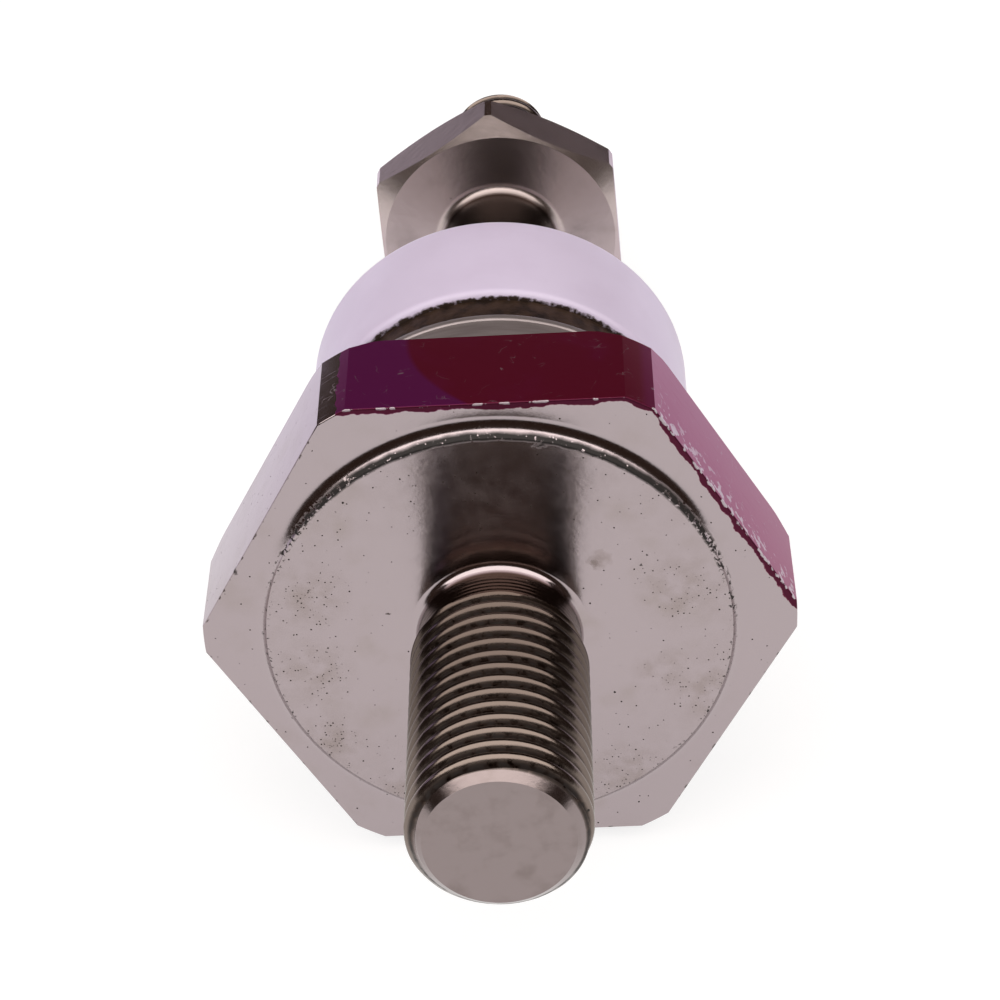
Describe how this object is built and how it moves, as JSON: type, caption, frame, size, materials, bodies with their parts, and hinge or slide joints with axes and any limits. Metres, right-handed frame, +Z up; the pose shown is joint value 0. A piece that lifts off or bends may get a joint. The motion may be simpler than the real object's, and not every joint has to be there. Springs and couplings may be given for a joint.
{
  "type": "stud diode",
  "caption": "Stud-mounted power rectifier diode with a hex base, a ceramic insulator and a rigid threaded terminal with a hex collar, lying on its side.",
  "frame": {"origin": "centre of the bounding box on the surface that the diode lies on", "axes": "+Z up as it lies; +Y from the stud towards the terminal, which slopes down a little; +X across the hex base"},
  "size_m": [0.032, 0.0754, 0.0293],
  "materials": {
    "nickel_base": "bright nickel plate, magenta lacquer on two flats",
    "case_steel": "turned and plated steel",
    "seal_alloy": "darkened sealing alloy",
    "alumina": "glazed alumina",
    "nickel_post": "bright nickel plate",
    "molybdenum": "ground",
    "silicon": "lapped",
    "silicone_rubber": "cast",
    "copper": "turned copper",
    "fluoropolymer": "moulded",
    "spring_steel": "hardened",
    "copper_rope": "stranded copper"
  },
  "bodies": {
    "root": {"stud_base": "nickel_base", "case_ring": "case_steel", "seal_flange": "seal_alloy", "ceramic_insulator": "alumina", "seal_cap": "seal_alloy", "terminal_post": "nickel_post", "lower_molybdenum_disc": "molybdenum", "silicon_wafer": "silicon", "junction_seal_ring": "silicone_rubber", "upper_molybdenum_disc": "molybdenum", "contact_button": "copper", "insulating_bush": "fluoropolymer", "thrust_washer": "spring_steel", "disc_spring_1": "spring_steel", "disc_spring_2": "spring_steel", "disc_spring_3": "spring_steel", "retaining_ring": "spring_steel", "flexible_lead": "copper_rope"}
  },
  "joints": []
}
